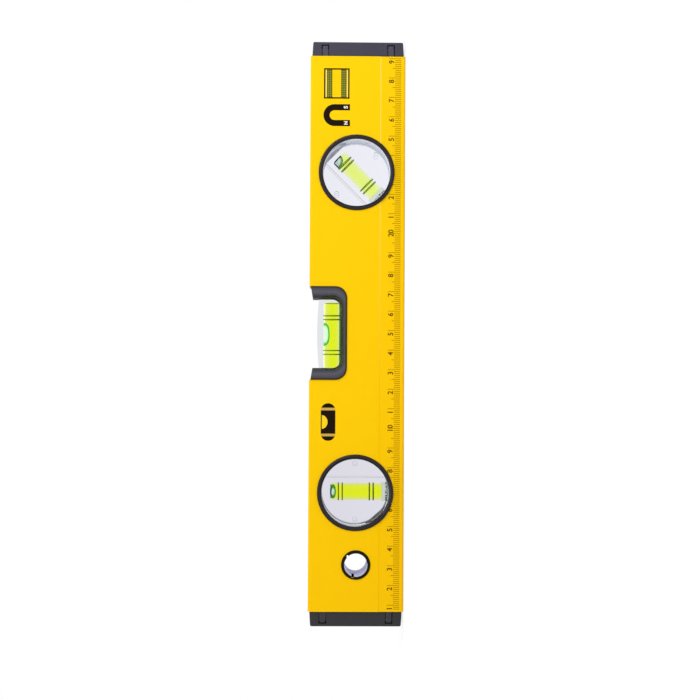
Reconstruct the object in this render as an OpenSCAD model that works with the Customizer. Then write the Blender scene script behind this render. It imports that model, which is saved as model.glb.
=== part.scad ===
// Magnetic spirit level. A box-section aluminium body stands on its milled base.
// A level vial sits in a window cut into the top edge, a plumb vial and a 45 degree
// vial sit in round housings, and a bushed hole near one end hangs the level up.
// X runs along the level, Y through its thickness with the front face at -Y,
// and Z up from the middle of the base. All sizes are in millimetres.

/* [Body] */
// Length over both end caps
total_l = 300; // [250:1:600]
// Height from the base to the top edge
body_h = 48.8; // [47.5:0.1:70]
// Thickness between the front and rear faces
body_t = 21; // [20:0.5:30]
// Thickness of the front and rear walls
side_wall = 1.8; // [1.4:0.1:2.4]
// Thickness of the wall along the top edge
top_wall = 2; // [1.6:0.1:3]
// Thickness of the base, which holds the magnets
base_wall = 4.2; // [4:0.1:4.8]
// Radius of the long outer edges
edge_r = 1.2; // [0.6:0.1:1.5]
// Radius of the long inner corners
inner_r = 1.5; // [0.5:0.1:2.5]
// Height of the recessed ruler strip above the base
strip_h = 12.9; // [9:0.1:16]
// Depth of the recessed ruler strip
strip_step = 0.35; // [0.2:0.05:0.6]

/* [End caps] */
// Length of a cap outside the body
cap_l = 7.8; // [7:0.1:12]
// How far a cap stands back from the body's faces where it meets them
cap_inset = 0.8; // [0.4:0.05:1.2]
// Further inset at the cap's outer end
cap_taper = 0.5; // [0.2:0.1:1.2]
// Radius of a cap's outer edges
cap_r = 1; // [0.5:0.1:1.5]
// Thickness of a cap's end wall
cap_wall = 1.6; // [1:0.1:2.4]
// Length of the hollow plug inside the body
plug_l = 12; // [6:0.5:13]
// Wall of the plug
plug_wall = 1.5; // [1:0.1:2]
// Thickness of the rib that runs up the middle of a cap
cap_rib = 1.4; // [1:0.1:2]
// Lead-in of the plug's open end
plug_lead = 0.4; // [0.1:0.1:0.8]
// Width of a snap tongue
tongue_w = 2.6; // [2:0.1:4]
// Length of a snap tongue in the cap's face
tongue_l = 5.6; // [4:0.1:5.6]
// Width of the slot around a snap tongue
tongue_slot = 0.65; // [0.4:0.05:1]
// Distance of a snap tongue from mid-height
tongue_off = 16.9; // [12:0.1:18]

/* [Round vials] */
// Distance of the plumb vial from the level's left end
plumb_from_end = 68.3; // [60:0.1:100]
// Distance of the 45 degree vial from the level's right end
angle_from_end = 67.7; // [41:0.1:100]
// How far the round vials lie above mid-height
vial_rise = 0.5; // [-2:0.1:2]
// Lean of the 45 degree vial from upright
angle_tilt = 45; // [30:5:60]
// Outer diameter of a housing's flange
bezel_d = 39; // [38:0.5:40]
// How far a housing's flange lies on the face
bezel_lap = 0.8; // [0.6:0.1:1.4]
// How far a housing stands proud of the face
bezel_proud = 0.8; // [0.5:0.1:1.4]
// Diameter of a housing's clear opening
bezel_view_d = 34.2; // [32:0.1:34.6]
// Width of the ledge that a vial disc seats on
seat_ledge = 0.5; // [0.3:0.1:0.7]
// Thickness of a vial disc
disc_t = 13; // [11:0.5:14]
// Distance of the step in a disc's front face from the vial's axis
disc_step_at = 7.5; // [6.5:0.1:12]
// Depth of the step in a disc's front face
disc_step = 1.2; // [0.5:0.1:1.6]
// Distance from the 45 degree disc's centre to the flat where its gate was cut off
angle_flat_at = 15.8; // [15.4:0.1:16.8]
// Distance from the plumb disc's centre to the flat where its gate was cut off
plumb_flat_at = 16.4; // [15.4:0.1:16.8]
// How far the plumb disc's flat is turned round from the bubble's end
plumb_flat_turn = 229; // [225:1:240]
// Distance of a moulding mark from the disc's centre
mark_at = 14.4; // [12:0.1:15]
// Diameter of a moulding mark
mark_d = 2.2; // [1.5:0.1:3]
// Bore of a round vial
vial_bore_d = 8.8; // [7:0.1:9.6]
// Distance from the disc's centre to the closed end of the bore
vial_top = 12.8; // [11:0.1:14]
// Distance from the disc's centre to the plug that closes the bore
vial_bottom = 13.8; // [12:0.1:15]
// Distance from the middle of the marking rings to the first ring
vial_ring_at = 7; // [4:0.1:8]
// Height of the middle of the marking rings above the disc's centre
vial_ring_mid = -0.5; // [-1.5:0.1:1.5]
// Bubble's radius in a round vial
vial_bubble_r = 3.65; // [2:0.05:4]
// How far the 45 degree vial's bubble lies towards the higher side of its bore
angle_bubble_side = 2.4; // [0.5:0.1:3]

/* [Level vial] */
// Place of the window along the level
window_x = -0.2; // [-20:0.1:20]
// Width of the window frame in the top edge
window_w = 48; // [46:0.5:54]
// Depth of the window frame below the top edge
window_d = 19.4; // [18.8:0.1:21]
// Radius of the window frame's lower corners
window_r = 6; // [4:0.1:8]
// How far the window frame lies on the face
window_lap = 1.4; // [0.8:0.1:1.6]
// How far the window frame stands proud of the face
window_proud = 0.8; // [0.5:0.1:1.4]
// Width of the clear opening
view_w = 35.8; // [32:0.1:36]
// Depth of the clear opening below the top edge
view_d = 16; // [15:0.1:16.4]
// Radius of the clear opening's lower corners
view_r = 4.2; // [2:0.1:5]
// Width of the bevel around the clear opening
view_bevel = 1.35; // [0.6:0.05:1.6]
// How far the outer corner of an arm lies below the top edge
arm_drop = 0.7; // [0.4:0.1:2]
// Further drop of an arm's end at its inner side
arm_slope = 1; // [0.4:0.1:2]
// Height below the top edge over which the arms fill the cut-out to their full width
arm_shoulder = 3; // [2.2:0.1:4]
// How far each end of the vial block runs behind an arm
block_lap = 3; // [2:0.1:3.4]
// How far the bottom of the vial block runs below the clear opening
block_sink = 1; // [0.5:0.1:1.2]
// Thickness of the vial block
block_t = 13; // [10:0.5:14]
// Depth of the middle of the vial block's crowned top below the top edge
crown_mid = 4.05; // [4.05:0.05:5]
// How much the crowned top falls to the sides of the clear opening
crown_fall = 0.9; // [0.3:0.1:1.4]
// Bore of the level vial at its middle
level_bore_d = 8.4; // [6:0.1:8.6]
// How much narrower the bore is at its ends, which centres the bubble
level_barrel = 0.2; // [0.05:0.05:0.4]
// Depth of the level vial's axis below the top edge
level_axis_d = 11.5; // [10.4:0.1:11.8]
// Place of the middle of the level vial along the window
level_x = -0.8; // [-1:0.1:0.5]
// Length of the fluid in the level vial
level_l = 33.7; // [28:0.1:34]
// Distance from the level vial's middle to the first marking ring
level_ring_at = 8; // [6:0.1:10]
// Length of the level vial's bubble
level_bubble_l = 11.7; // [8:0.1:13]
// Depth of the level vial's bubble
level_bubble_h = 3.1; // [2:0.1:3.6]
// How far the level vial's bubble stands from the middle of its vial
level_bubble_at = 0.3; // [-2:0.1:2]

/* [Marking rings and plugs] */
// Distance between the two rings of a pair
ring_pitch = 2; // [1.2:0.05:2.4]
// Width of a marking ring
ring_w = 0.6; // [0.4:0.05:0.9]
// Depth of a marking ring in the wall of its bore
ring_depth = 0.25; // [0.15:0.05:0.4]
// How much wider a plug is than its bore
plug_step = 1.3; // [0.8:0.1:2]
// How far a plug lies inside its bore's mouth
plug_recess = 0.2; // [0.1:0.05:0.4]

/* [Hanging hole] */
// Distance of the hanging hole from the level's left end
hang_from_end = 31.6; // [28.5:0.1:40]
// Outer diameter of a bush's flange
hang_d = 15; // [14:0.1:16]
// Clear bore of the bushes
hang_bore_d = 11.6; // [10:0.1:12]
// How far a bush's flange lies on the face
hang_lap = 0.8; // [0.6:0.1:1]
// How far a bush stands proud of the face
hang_proud = 0.6; // [0.4:0.1:1]
// Width of the slots between the front bush's snap fingers
hang_slot = 1.3; // [0.8:0.1:2]
// Width of the catch window at the end of a slot
catch_w = 2.5; // [2.1:0.1:3.2]
// Length of the catch window along the hole
catch_l = 1.6; // [1:0.1:2.5]

/* [Magnets] */
// Distance of a magnet's middle from the level's end
magnet_from_end = 42; // [28:1:120]
// Length of a magnet
magnet_l = 36; // [20:1:44]
// Width of a magnet
magnet_w = 8; // [5:0.5:12]
// Thickness of a magnet
magnet_t = 2.2; // [1.5:0.1:2.4]
// Radius of a magnet's corners
magnet_r = 1.5; // [0.5:0.1:2]
// Thickness of the steel plate behind a magnet
plate_t = 0.8; // [0.5:0.1:1]
// How far a magnet lies inside the base
magnet_recess = 0.1; // [0.05:0.05:0.3]

/* [Fit] */
// Clearance around pieces that are pressed or snapped in
clear = 0.05; // [0.02:0.01:0.1]

/* [Hidden] */
$fn = 96;
hull_fn = 32;
over = 1;

body_yellow = [0.99, 0.80, 0.02];
cap_grey = [0.30, 0.29, 0.34];
bezel_black = [0.16, 0.15, 0.16];
acrylic = [0.88, 0.88, 0.94, 0.35];
plug_white = [0.90, 0.92, 0.88];
fluid_green = [0.86, 0.94, 0.10];
ring_olive = [0.35, 0.45, 0.05];
magnet_dark = [0.20, 0.20, 0.21];
steel = [0.62, 0.63, 0.65];

half_t = body_t / 2;
strip_half_t = half_t - strip_step;
mid_z = body_h / 2;
end_x = total_l / 2 - cap_l;
plumb_x = plumb_from_end - total_l / 2;
angle_x = total_l / 2 - angle_from_end;
hang_x = hang_from_end - total_l / 2;
magnet_x = total_l / 2 - magnet_from_end;

inner_half_t = half_t - side_wall;
inner_top = body_h - top_wall;

vial_z = mid_z + vial_rise;
bezel_r = bezel_d / 2;
bezel_hole_r = bezel_r - bezel_lap;
bezel_sleeve_r = bezel_hole_r - clear;
bezel_view_r = bezel_view_d / 2;
disc_r = bezel_view_r + seat_ledge;
disc_cup_r = disc_r + clear;
bezel_bevel = (bezel_r - bezel_view_r) * 0.4;
vial_bore_r = vial_bore_d / 2;
vial_end_r = 1.2;

hang_r = hang_d / 2;
hang_hole_r = hang_r - hang_lap;
hang_sleeve_r = hang_hole_r - clear;
hang_bore_r = hang_bore_d / 2;
hang_slot_out = hang_hole_r;

notch_half = window_w / 2 - window_lap;
notch_floor = body_h - window_d + window_lap;
notch_r = window_r - window_lap;
view_half = view_w / 2;
view_floor = body_h - view_d;
block_half = view_half + block_lap;
block_floor = view_floor - block_sink;
crown_top = body_h - crown_mid;
crown_r = (view_half * view_half + crown_fall * crown_fall) / (2 * crown_fall);
block_lug_top = crown_top - crown_fall;
level_axis_z = body_h - level_axis_d;
level_bore_r = level_bore_d / 2;
level_tip_r = level_bore_r - level_barrel / 2;
level_end_r = 1.4;
level_bottom = level_x - level_l / 2;

plate_z = magnet_recess + magnet_t;
pocket_d = plate_z + plate_t;

// A flat outline drawn in X and Z, given a thickness from y0 to y1
module along_y(y0, y1) {
    translate([0, y1, 0])
        rotate([90, 0, 0])
            linear_extrude(y1 - y0)
                children();
}

// A section drawn in Y and Z, run from x0 to x1
module along_x(x0, x1) {
    translate([x0, 0, 0])
        rotate([90, 0, 90])
            linear_extrude(x1 - x0)
                children();
}

// A rectangle with four round corners
module round_rect(x0, x1, y0, y1, r) {
    translate([x0 + r, y0])
        square([x1 - x0 - 2 * r, y1 - y0]);
    translate([x0, y0 + r])
        square([x1 - x0, y1 - y0 - 2 * r]);
    for (x = [x0 + r, x1 - r])
        for (y = [y0 + r, y1 - r])
            translate([x, y])
                circle(r);
}

// A U-shaped opening: straight sides, a flat floor and round lower corners
module u_outline(half_w, floor_y, top_y, r) {
    translate([-half_w, floor_y + r])
        square([2 * half_w, top_y - floor_y - r]);
    translate([r - half_w, floor_y])
        square([2 * (half_w - r), top_y - floor_y]);
    for (x = [r - half_w, half_w - r])
        translate([x, floor_y + r])
            circle(r);
}

// Turns a shape on the front half to the rear half
module to_rear() {
    rotate([0, 0, 180])
        children();
}

// Stands a revolved shape on the level's thickness, its top towards the front face
module towards_front(x, z) {
    translate([x, 0, z])
        rotate([90, 0, 0])
            children();
}

// Body

module outer_section() {
    translate([-half_t, strip_h])
        square([body_t, body_h - edge_r - strip_h]);
    translate([edge_r - half_t, strip_h])
        square([body_t - 2 * edge_r, body_h - strip_h]);
    for (y = [edge_r - half_t, half_t - edge_r])
        translate([y, body_h - edge_r])
            circle(edge_r);
    polygon([
        [-strip_half_t, edge_r],
        [strip_half_t, edge_r],
        [strip_half_t, strip_h - strip_step],
        [half_t, strip_h],
        [-half_t, strip_h],
        [-strip_half_t, strip_h - strip_step]
    ]);
    translate([edge_r - strip_half_t, 0])
        square([2 * (strip_half_t - edge_r), strip_h]);
    for (y = [edge_r - strip_half_t, strip_half_t - edge_r])
        translate([y, edge_r])
            circle(edge_r);
}

module inner_section(gap = 0) {
    round_rect(
        gap - inner_half_t, inner_half_t - gap,
        base_wall + gap, inner_top - gap, inner_r
    );
}

module magnet_outline(gap = 0) {
    round_rect(
        -magnet_l / 2 - gap, magnet_l / 2 + gap,
        -magnet_w / 2 - gap, magnet_w / 2 + gap, magnet_r
    );
}

module frame_profile() {
    color(body_yellow)
        difference() {
            along_x(-end_x, end_x)
                difference() {
                    outer_section();
                    inner_section();
                }
            at_window()
                along_y(-half_t - over, half_t + over) {
                    u_outline(notch_half, notch_floor, body_h + over, notch_r);
                    arm_shoulders();
                }
            for (x = [plumb_x, angle_x])
                towards_front(x, vial_z)
                    cylinder(h = body_t + 2 * over, r = bezel_hole_r, center = true);
            towards_front(hang_x, mid_z)
                cylinder(h = body_t + 2 * over, r = hang_hole_r, center = true);
            for (x = [-magnet_x, magnet_x])
                translate([x, 0, -over])
                    linear_extrude(pocket_d + over)
                        magnet_outline(clear);
        }
}

// End caps

// A tapered outline from x = 0 to cap_l, with its two outer corners rounded.
// half is its half width at x = 0.
module cap_outline(half) {
    lean = atan(cap_taper / cap_l);
    corner_x = cap_l - cap_r;
    corner_y = half - cap_taper * corner_x / cap_l - cap_r / cos(lean);
    touch = [corner_x + cap_r * sin(lean), corner_y + cap_r * cos(lean)];
    polygon([
        [0, half],
        touch,
        [cap_l, corner_y],
        [cap_l, -corner_y],
        [touch[0], -touch[1]],
        [0, -half]
    ]);
    for (y = [-corner_y, corner_y])
        translate([corner_x, y])
            circle(cap_r);
}

// The slot around one snap tongue, open towards the body. It runs in from the face
// at -Y to the rib.
module tongue_slot_cut() {
    reach = tongue_l + tongue_slot;
    half = tongue_w / 2;
    depth = half_t + over - cap_rib / 2;
    for (z = [-half - tongue_slot, half])
        translate([0, -half_t - over, z])
            cube([reach, depth, tongue_slot]);
    translate([tongue_l, -half_t - over, -half - tongue_slot])
        cube([tongue_slot, depth, tongue_w + 2 * tongue_slot]);
}

// A cap with its joint to the body at x = 0 and its outer end towards +X
module cap_shape() {
    half_y = strip_half_t - cap_inset;
    half_z = mid_z - cap_inset;
    hollow_gap = clear + plug_wall;
    difference() {
        union() {
            intersection() {
                translate([0, 0, mid_z])
                    along_y(-half_t, half_t)
                        cap_outline(half_z);
                linear_extrude(body_h)
                    cap_outline(half_y);
                along_x(0, cap_l)
                    round_rect(-half_y, half_y, cap_inset, body_h - cap_inset, cap_r);
            }
            along_x(cap_r - plug_l, 0)
                inner_section(clear);
            along_x(-plug_l, cap_r - plug_l)
                inner_section(clear + plug_lead);
        }
        along_x(-plug_l - over, cap_l - cap_wall)
            difference() {
                inner_section(hollow_gap);
                translate([-cap_rib / 2, 0])
                    square([cap_rib, body_h]);
            }
        for (z = [mid_z - tongue_off, mid_z + tongue_off], side = [0, 1])
            translate([0, 0, z])
                mirror([0, side, 0])
                    tongue_slot_cut();
    }
}

module left_end_cap() {
    color(cap_grey)
        translate([-end_x, 0, 0])
            to_rear()
                cap_shape();
}

module right_end_cap() {
    color(cap_grey)
        translate([end_x, 0, 0])
            cap_shape();
}

// Window frame

// Moves a shape drawn about the middle of the window to the window's place
module at_window() {
    translate([window_x, 0, 0])
        children();
}

// The cut-out's wider part along the top edge, which the two arms fill. gap makes it
// smaller all round, for the arms.
module arm_shoulders(gap = 0) {
    half = window_w / 2 - gap;
    low = body_h - arm_shoulder + gap;
    translate([-half, low])
        square([2 * half, body_h + over - low]);
}

// The front half of the window frame. The rear half is the same piece turned round.
module window_bezel_half() {
    face_y = -half_t - window_proud;
    rim = window_proud * 0.75;
    arm_top = body_h - arm_drop;
    bevel_depth = window_proud + side_wall;
    difference() {
        union() {
            hull() {
                along_y(face_y + rim, -half_t)
                    u_outline(window_w / 2, body_h - window_d, body_h, window_r, $fn = hull_fn);
                along_y(face_y + rim / 3, -half_t)
                    u_outline(
                        window_w / 2 - rim * 0.3, body_h - window_d + rim * 0.3,
                        body_h, window_r - rim * 0.3, $fn = hull_fn
                    );
                along_y(face_y, -half_t)
                    u_outline(
                        window_w / 2 - rim, body_h - window_d + rim,
                        body_h, window_r - rim, $fn = hull_fn
                    );
            }
            along_y(-half_t, -clear / 2) {
                u_outline(notch_half - clear, notch_floor + clear, body_h, notch_r - clear);
                arm_shoulders(clear);
            }
        }
        along_y(face_y - over, over)
            u_outline(view_half, view_floor, body_h + over, view_r);
        hull() {
            along_y(face_y - over, face_y)
                u_outline(
                    view_half + view_bevel, view_floor - view_bevel,
                    body_h + over, view_r + view_bevel, $fn = hull_fn
                );
            along_y(face_y, face_y + bevel_depth)
                u_outline(view_half, view_floor, body_h + over, view_r, $fn = hull_fn);
        }
        translate([-block_half - clear, -block_t / 2 - clear, block_floor - clear])
            cube([
                2 * (block_half + clear),
                block_t,
                block_lug_top - block_floor + 2 * clear
            ]);
        along_y(face_y - over, over)
            arm_end_cut(arm_top);
    }
}

// What lies above the sloping ends of the window frame's arms
module arm_end_cut(arm_top) {
    polygon([
        [-window_w / 2 - over, arm_top],
        [-window_w / 2, arm_top],
        [-view_half, arm_top - arm_slope],
        [view_half, arm_top - arm_slope],
        [window_w / 2, arm_top],
        [window_w / 2 + over, arm_top],
        [window_w / 2 + over, body_h + over],
        [-window_w / 2 - over, body_h + over]
    ]);
}

module window_bezel_front() {
    color(cap_grey)
        at_window()
            window_bezel_half();
}

module window_bezel_rear() {
    color(cap_grey)
        at_window()
            to_rear()
                window_bezel_half();
}

// Level vial

// The bore of the level vial, drawn about the middle of the window. It lies along X,
// is widest at its middle and has its closed end towards +X. gap makes it smaller
// all round, for the fluid that fills it.
module level_bore(gap = 0) {
    half = level_l / 2;
    mid_r = level_bore_r - gap;
    tip_r = level_tip_r - gap;
    on_level_axis()
        rotate_extrude() {
            polygon([
                [0, gap - half],
                [tip_r, gap - half],
                [mid_r, 0],
                [tip_r, half - level_end_r],
                [0, half - level_end_r]
            ]);
            translate([0, half - level_end_r])
                square([tip_r - level_end_r, level_end_r - gap]);
            intersection() {
                translate([tip_r - level_end_r, half - level_end_r])
                    circle(level_end_r - gap);
                translate([0, half - level_end_r])
                    square([tip_r, level_end_r]);
            }
        }
}

// Repeats a shape at the four ring places of a bore, along Z from its middle
module at_rings(first) {
    for (side = [-1, 1])
        for (at = [first, first + ring_pitch])
            translate([0, 0, side * at])
                children();
}

// The grooves that hold the marking rings in the wall of a bore of radius r
module ring_grooves(r, first) {
    at_rings(first)
        cylinder(h = ring_w, r = r + ring_depth, center = true);
}

// The marking rings, a little smaller than their grooves
module ring_set(r, first) {
    at_rings(first)
        difference() {
            cylinder(h = ring_w - clear, r = r + ring_depth - clear / 2, center = true);
            cylinder(h = ring_w, r = r, center = true);
        }
}

// Lays a shape drawn along Z on the level vial's axis, with its top towards +X
module on_level_axis() {
    translate([level_x, 0, level_axis_z])
        rotate([0, 90, 0])
            children();
}

module level_vial_block() {
    plug_r = level_bore_r + plug_step / 2;
    color(acrylic)
        at_window()
            difference() {
                intersection() {
                    translate([-block_half, -block_t / 2, block_floor])
                        cube([2 * block_half, block_t, crown_top - block_floor]);
                    translate([0, 0, crown_top - crown_r])
                        rotate([90, 0, 0])
                            cylinder(h = block_t + over, r = crown_r, center = true, $fn = 360);
                    union() {
                        translate([-view_half + clear, -block_t, block_floor])
                            cube([2 * (view_half - clear), 2 * block_t, body_h]);
                        translate([-block_half, -block_t, block_floor])
                            cube([2 * block_half, 2 * block_t, block_lug_top - block_floor]);
                    }
                }
                level_bore();
                on_level_axis()
                    ring_grooves(level_bore_r, level_ring_at);
                on_level_axis()
                    translate([0, 0, -level_x - block_half - over])
                        cylinder(h = block_half + over + level_bottom, r = plug_r);
            }
}

module level_vial_plug() {
    plug_r = level_bore_r + plug_step / 2 - clear;
    color(plug_white)
        at_window()
            on_level_axis()
                translate([0, 0, -level_x - block_half + plug_recess])
                    cylinder(h = block_half - plug_recess + level_bottom, r = plug_r);
}

module level_vial_fluid() {
    bubble_r = (level_bubble_l * level_bubble_l / 4 + level_bubble_h * level_bubble_h)
        / (2 * level_bubble_h);
    bubble_z = level_axis_z + level_bore_r - level_bubble_h + bubble_r;
    color(fluid_green)
        at_window()
            difference() {
                level_bore(clear / 2);
                translate([level_x + level_bubble_at, 0, bubble_z])
                    sphere(bubble_r);
            }
}

module level_vial_rings() {
    color(ring_olive)
        at_window()
            on_level_axis()
                ring_set(level_bore_r, level_ring_at);
}

// Round housings

// The front half of a round housing: a rounded flange on the face, a sleeve through
// the wall and a cup for the vial disc that ends at mid-thickness
module round_bezel_half(x) {
    face = half_t + bezel_proud;
    rim_r = bezel_proud * 0.9;
    seat = disc_t / 2 + clear;
    towards_front(x, vial_z)
        rotate_extrude(angle = 360)
            difference() {
                union() {
                    translate([0, half_t])
                        square([bezel_r - rim_r, bezel_proud]);
                    translate([0, half_t])
                        square([bezel_r, bezel_proud - rim_r]);
                    intersection() {
                        translate([bezel_r - rim_r, face - rim_r])
                            circle(rim_r);
                        translate([0, half_t])
                            square([bezel_r, bezel_proud]);
                    }
                    translate([0, clear / 2])
                        square([bezel_sleeve_r, half_t]);
                }
                translate([0, -over])
                    square([bezel_view_r, face + 2 * over]);
                translate([0, -over])
                    square([disc_cup_r, seat + over]);
                polygon([
                    [0, face + over],
                    [0, face - bezel_bevel],
                    [bezel_view_r, face - bezel_bevel],
                    [bezel_view_r + bezel_bevel, face],
                    [bezel_view_r + bezel_bevel, face + over]
                ]);
            }
    bezel_foot(x);
}

// The part of the flange that reaches down to the recessed ruler strip. It runs on
// through the flat edge of the flange, so that the two are one.
module bezel_foot(x) {
    foot_h = strip_step + bezel_proud * 0.1;
    intersection() {
        towards_front(x, vial_z)
            translate([0, 0, strip_half_t])
                difference() {
                    cylinder(h = foot_h, r = bezel_r);
                    translate([0, 0, -over])
                        cylinder(h = foot_h + 2 * over, r = bezel_sleeve_r - clear);
                }
        translate([x - bezel_r - over, -half_t - over, 0])
            cube([2 * (bezel_r + over), half_t, strip_h - strip_step - clear]);
    }
}

module round_bezel_rear(x) {
    to_rear()
        round_bezel_half(-x);
}

module plumb_bezel_front() {
    color(bezel_black)
        round_bezel_half(plumb_x);
}

module plumb_bezel_rear() {
    color(bezel_black)
        round_bezel_rear(plumb_x);
}

module angle_bezel_front() {
    color(bezel_black)
        round_bezel_half(angle_x);
}

module angle_bezel_rear() {
    color(bezel_black)
        round_bezel_rear(angle_x);
}

// Round vials. Each is drawn upright about its own centre, with the bubble's end
// up and the plug's end down, and is then leaned over and moved to its place.

module vial_place(x, tilt) {
    translate([x, 0, vial_z])
        rotate([0, tilt, 0])
            children();
}

module vial_bore(gap = 0) {
    r = vial_bore_r - gap;
    top = vial_top - gap;
    rotate_extrude() {
        translate([0, gap - vial_bottom])
            square([r, vial_bottom - gap + top - vial_end_r]);
        translate([0, gap - vial_bottom])
            square([r - vial_end_r, vial_bottom - gap + top]);
        intersection() {
            translate([r - vial_end_r, top - vial_end_r])
                circle(vial_end_r);
            translate([0, 0])
                square([r, top]);
        }
    }
}

// step_side is +1 or -1: the side of the vial's axis with the thinner face. The gate's
// flat lies flat_at from the centre, turned round by flat_turn from the bubble's end.
module vial_disc(step_side, flat_at, flat_turn) {
    plug_r = vial_bore_r + plug_step / 2;
    front = -disc_t / 2;
    color(acrylic)
        difference() {
            rotate([90, 0, 0])
                cylinder(h = disc_t, r = disc_r, center = true);
            vial_bore();
            translate([0, 0, vial_ring_mid])
                ring_grooves(vial_bore_r, vial_ring_at);
            translate([0, 0, -disc_r - over])
                cylinder(h = disc_r + over - vial_bottom, r = plug_r);
            translate([step_side * (disc_step_at + disc_r / 2), front, 0])
                cube([disc_r, 2 * disc_step, 3 * disc_r], center = true);
            for (x = [-mark_at, mark_at])
                translate([x, front, 0])
                    rotate([90, 0, 0])
                        cylinder(h = 4 * disc_step, r = mark_d / 2, center = true);
            rotate([0, flat_turn, 0])
                translate([-disc_r, -disc_t, flat_at])
                    cube([2 * disc_r, 2 * disc_t, disc_r]);
        }
}

module vial_plug() {
    plug_r = vial_bore_r + plug_step / 2 - clear;
    rim_drop = disc_r - sqrt(disc_r * disc_r - plug_r * plug_r);
    low = disc_r - rim_drop - plug_recess;
    color(plug_white)
        translate([0, 0, -low])
            cylinder(h = low - vial_bottom, r = plug_r);
}

// side is how far the bubble lies from the axis, which also lets it sink a little
module vial_fluid(side = 0) {
    bubble_z = vial_top + vial_bubble_r / 7 - side * 0.3;
    color(fluid_green)
        difference() {
            vial_bore(clear / 2);
            translate([-side, 0, bubble_z])
                sphere(vial_bubble_r);
        }
}

module vial_rings() {
    color(ring_olive)
        translate([0, 0, vial_ring_mid])
            ring_set(vial_bore_r, vial_ring_at);
}

module plumb_vial_disc() {
    vial_place(plumb_x, 0)
        vial_disc(1, plumb_flat_at, plumb_flat_turn);
}

module plumb_vial_plug() {
    vial_place(plumb_x, 0)
        vial_plug();
}

module plumb_vial_fluid() {
    vial_place(plumb_x, 0)
        vial_fluid();
}

module plumb_vial_rings() {
    vial_place(plumb_x, 0)
        vial_rings();
}

module angle_vial_disc() {
    vial_place(angle_x, angle_tilt)
        vial_disc(-1, angle_flat_at, 0);
}

module angle_vial_plug() {
    vial_place(angle_x, angle_tilt)
        vial_plug();
}

module angle_vial_fluid() {
    vial_place(angle_x, angle_tilt)
        vial_fluid(angle_bubble_side);
}

module angle_vial_rings() {
    vial_place(angle_x, angle_tilt)
        vial_rings();
}

// Hanging hole

// A bush with a rounded flange on the face and a sleeve to mid-thickness
module hang_bush() {
    face = half_t + hang_proud;
    rim_r = hang_proud * 0.9;
    rotate_extrude()
        difference() {
            union() {
                translate([0, half_t])
                    square([hang_r - rim_r, hang_proud]);
                translate([0, half_t])
                    square([hang_r, hang_proud - rim_r]);
                intersection() {
                    translate([hang_r - rim_r, face - rim_r])
                        circle(rim_r);
                    translate([0, half_t])
                        square([hang_r, hang_proud]);
                }
                translate([0, clear / 2])
                    square([hang_sleeve_r, half_t]);
            }
            translate([0, -over])
                square([hang_bore_r, face + 2 * over]);
        }
}

// One slot between the snap fingers, with the catch window at its inner end
module finger_slot() {
    catch_z = catch_l;
    translate([0, -hang_slot / 2, catch_z])
        cube([hang_slot_out, hang_slot, body_t]);
    translate([0, -catch_w / 2, catch_z])
        cube([hang_slot_out, catch_w, catch_l]);
}

module hang_bush_front() {
    color(bezel_black)
        towards_front(hang_x, mid_z)
            difference() {
                hang_bush();
                for (a = [45, 165, 285])
                    rotate([0, 0, a])
                        finger_slot();
            }
}

module hang_bush_rear() {
    color(bezel_black)
        to_rear()
            towards_front(-hang_x, mid_z)
                hang_bush();
}

// Magnets

module magnet(x) {
    color(magnet_dark)
        translate([x, 0, magnet_recess])
            linear_extrude(magnet_t)
                magnet_outline();
}

module magnet_plate(x) {
    color(steel)
        translate([x, 0, plate_z])
            linear_extrude(plate_t)
                magnet_outline();
}

module magnet_left() {
    magnet(-magnet_x);
}

module magnet_right() {
    magnet(magnet_x);
}

module magnet_plate_left() {
    magnet_plate(-magnet_x);
}

module magnet_plate_right() {
    magnet_plate(magnet_x);
}

frame_profile();
left_end_cap();
right_end_cap();
window_bezel_front();
window_bezel_rear();
level_vial_block();
level_vial_plug();
level_vial_fluid();
level_vial_rings();
plumb_bezel_front();
plumb_bezel_rear();
plumb_vial_disc();
plumb_vial_plug();
plumb_vial_fluid();
plumb_vial_rings();
angle_bezel_front();
angle_bezel_rear();
angle_vial_disc();
angle_vial_plug();
angle_vial_fluid();
angle_vial_rings();
hang_bush_front();
hang_bush_rear();
magnet_left();
magnet_right();
magnet_plate_left();
magnet_plate_right();
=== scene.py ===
"""Looks of a magnetic spirit level that stands on its milled base.

The body is a powder-coated aluminium profile with moulded caps, a window for the level
vial, two round vial housings and a bushed hanging hole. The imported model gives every
solid. This script gives the finishes, the printed ruler and pictures, the studio and
the camera. Sizes are in millimetres unless a name says otherwise.
"""
import math

import bpy
import numpy as np
from mathutils import Matrix, Vector


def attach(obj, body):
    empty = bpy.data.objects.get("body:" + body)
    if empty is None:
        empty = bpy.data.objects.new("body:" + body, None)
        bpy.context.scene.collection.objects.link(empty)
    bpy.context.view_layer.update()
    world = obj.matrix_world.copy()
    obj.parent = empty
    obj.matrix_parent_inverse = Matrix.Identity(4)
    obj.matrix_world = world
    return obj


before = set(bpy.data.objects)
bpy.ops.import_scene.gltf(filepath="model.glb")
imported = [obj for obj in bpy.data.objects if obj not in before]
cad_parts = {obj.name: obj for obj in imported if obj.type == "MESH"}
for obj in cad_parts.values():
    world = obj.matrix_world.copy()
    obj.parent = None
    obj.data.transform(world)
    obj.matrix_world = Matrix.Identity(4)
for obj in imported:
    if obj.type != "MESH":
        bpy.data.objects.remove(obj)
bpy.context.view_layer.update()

MM = 0.001

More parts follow.
